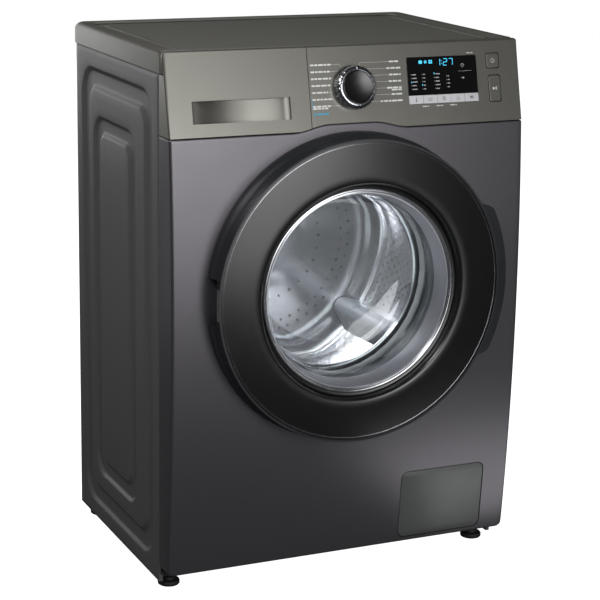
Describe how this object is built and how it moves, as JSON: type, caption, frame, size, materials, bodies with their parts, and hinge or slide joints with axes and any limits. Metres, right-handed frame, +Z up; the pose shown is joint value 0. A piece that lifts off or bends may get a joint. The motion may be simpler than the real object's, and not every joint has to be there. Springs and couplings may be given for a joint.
{
  "type": "front load washing machine",
  "caption": "Slim freestanding front load washing machine with a round porthole door, a detergent drawer, a programme dial and a sprung tub holding a belt driven drum.",
  "frame": {"origin": "on the floor at the centre of the machine's overall box", "axes": "+Z up, the door faces -Y, +X to the right of someone facing the door"},
  "size_m": [0.6, 0.4916, 0.85],
  "materials": {
    "cabinet_paint": "satin",
    "front_paint": "satin metallic",
    "panel_plastic": "satin",
    "top_board": "satin",
    "flap_plastic": "satin",
    "black_plastic": "satin",
    "black_gloss": "gloss",
    "display_gloss": "gloss",
    "silver_plastic": "satin",
    "white_plastic": "satin",
    "tub_plastic": "matte",
    "door_glass": "clear",
    "seal_rubber": "matte",
    "belt_rubber": "matte",
    "stainless": "brushed",
    "galvanised": "zinc",
    "cast_aluminium": "as cast",
    "concrete": "rough"
  },
  "bodies": {
    "cabinet": {"side_panel_left": "cabinet_paint", "side_panel_right": "cabinet_paint", "rear_panel": "galvanised", "base_pan": "black_plastic", "front_panel": "front_paint", "top_cover_frame": "panel_plastic", "top_cover_panel": "top_board", "control_fascia": "panel_plastic", "display_window": "display_gloss", "dispenser_housing": "white_plastic", "inlet_valve": "white_plastic", "cable_gland": "black_plastic", "upper_brace": "galvanised", "suspension_spring_left": "stainless", "suspension_spring_right": "stainless", "damper_cylinder_left": "black_plastic", "damper_cylinder_right": "black_plastic", "drain_pump": "black_plastic", "sump_hose": "seal_rubber", "door_gasket": "seal_rubber", "door_lock": "black_plastic", "door_hinge_bracket": "galvanised"},
    "tub": {"tub_front_shell": "tub_plastic", "tub_rear_shell": "tub_plastic", "shaft_bearing": "stainless", "upper_counterweight": "concrete", "front_counterweight": "concrete", "heater": "stainless", "motor_housing": "cast_aluminium", "drive_belt": "belt_rubber", "damper_rod_left": "galvanised", "damper_rod_right": "galvanised"},
    "drum": {"drum_basket": "stainless", "drum_lifter_1": "tub_plastic", "drum_lifter_2": "tub_plastic", "drum_lifter_3": "tub_plastic", "drum_spider_shaft": "cast_aluminium", "drum_pulley": "cast_aluminium"},
    "motor_shaft": {"motor_rotor": "stainless"},
    "door": {"door_outer_frame": "black_plastic", "door_inner_frame": "black_plastic", "door_front_ring": "black_gloss", "door_glass": "door_glass"},
    "latch": {"door_latch_hook": "galvanised"},
    "drawer": {"drawer_front": "panel_plastic", "drawer_tray": "white_plastic"},
    "dial": {"dial_knob": "black_gloss"},
    "power_key": {"power_button": "panel_plastic"},
    "start_key": {"start_button": "panel_plastic"},
    "flap": {"filter_flap": "flap_plastic"},
    "filter": {"pump_filter": "white_plastic"},
    "foot_fl": {"foot_front_left": "black_plastic"},
    "foot_fr": {"foot_front_right": "black_plastic"},
    "foot_rl": {"foot_rear_left": "black_plastic"},
    "foot_rr": {"foot_rear_right": "black_plastic"},
    "option_key_1": {"option_button_1": "silver_plastic"},
    "option_key_2": {"option_button_2": "silver_plastic"},
    "option_key_3": {"option_button_3": "silver_plastic"},
    "option_key_4": {"option_button_4": "silver_plastic"},
    "option_key_5": {"option_button_5": "silver_plastic"}
  },
  "joints": [
    {"name": "tub_float", "type": "slide", "parent": "cabinet", "child": "tub", "axis": [0, 0, 1], "range_m": [-0.008, 0.008], "stiffness_N_per_m": 20000, "springref_m": 0.018, "deforming": ["suspension_spring_left", "suspension_spring_right", "door_gasket", "sump_hose"]},
    {"name": "drum_spin", "type": "hinge", "parent": "tub", "child": "drum", "pos_m": [0, 0.1658, 0.4782], "axis": [0, 1, 0], "continuous": true},
    {"name": "motor_spin", "type": "hinge", "parent": "tub", "child": "motor_shaft", "pos_m": [0.06, 0.1258, 0.142], "axis": [0, 1, 0], "continuous": true},
    {"name": "door_hinge", "type": "hinge", "parent": "cabinet", "child": "door", "pos_m": [-0.232, -0.2342, 0.4782], "axis": [0, 0, -1], "range_deg": [0, 105]},
    {"name": "latch_pivot", "type": "hinge", "parent": "door", "child": "latch", "pos_m": [0.2, -0.2142, 0.4782], "axis": [0, 0, -1], "range_deg": [0, 8], "stiffness_Nm_per_rad": 0.4},
    {"name": "drawer_slide", "type": "slide", "parent": "cabinet", "child": "drawer", "axis": [0, -1, 0], "range_m": [0, 0.2]},
    {"name": "dial_turn", "type": "hinge", "parent": "cabinet", "child": "dial", "pos_m": [0.005, -0.17869, 0.7848], "axis": [0, -0.9746, 0.2239], "continuous": true},
    {"name": "flap_hinge", "type": "hinge", "parent": "cabinet", "child": "flap", "pos_m": [0.1772, -0.18608, 0.044], "axis": [1, 0, 0], "range_deg": [0, 85]},
    {"name": "filter_turn", "type": "hinge", "parent": "cabinet", "child": "filter", "pos_m": [0.178, -0.1542, 0.097], "axis": [0, -1, 0], "range_deg": [0, 180]},
    {"name": "foot_level_fl", "type": "slide", "parent": "cabinet", "child": "foot_fl", "axis": [0, 0, -1], "range_m": [0, 0.015]},
    {"name": "foot_level_fr", "type": "slide", "parent": "cabinet", "child": "foot_fr", "axis": [0, 0, -1], "range_m": [0, 0.015]},
    {"name": "foot_level_rl", "type": "slide", "parent": "cabinet", "child": "foot_rl", "axis": [0, 0, -1], "range_m": [0, 0.015]},
    {"name": "foot_level_rr", "type": "slide", "parent": "cabinet", "child": "foot_rr", "axis": [0, 0, -1], "range_m": [0, 0.015]},
    {"name": "power_press", "type": "slide", "parent": "cabinet", "child": "power_key", "axis": [0, 0.9746, -0.2239], "range_m": [0, 0.0015], "stiffness_N_per_m": 400},
    {"name": "start_press", "type": "slide", "parent": "cabinet", "child": "start_key", "axis": [0, 0.9746, -0.2239], "range_m": [0, 0.0015], "stiffness_N_per_m": 400},
    {"name": "option_press_1", "type": "slide", "parent": "cabinet", "child": "option_key_1", "axis": [0, 0.9746, -0.2239], "range_m": [0, 0.0015], "stiffness_N_per_m": 400},
    {"name": "option_press_2", "type": "slide", "parent": "cabinet", "child": "option_key_2", "axis": [0, 0.9746, -0.2239], "range_m": [0, 0.0015], "stiffness_N_per_m": 400},
    {"name": "option_press_3", "type": "slide", "parent": "cabinet", "child": "option_key_3", "axis": [0, 0.9746, -0.2239], "range_m": [0, 0.0015], "stiffness_N_per_m": 400},
    {"name": "option_press_4", "type": "slide", "parent": "cabinet", "child": "option_key_4", "axis": [0, 0.9746, -0.2239], "range_m": [0, 0.0015], "stiffness_N_per_m": 400},
    {"name": "option_press_5", "type": "slide", "parent": "cabinet", "child": "option_key_5", "axis": [0, 0.9746, -0.2239], "range_m": [0, 0.0015], "stiffness_N_per_m": 400}
  ],
  "couplings": [
    {"joint": "motor_spin", "follows": "drum_spin", "ratio": 10.4}
  ]
}
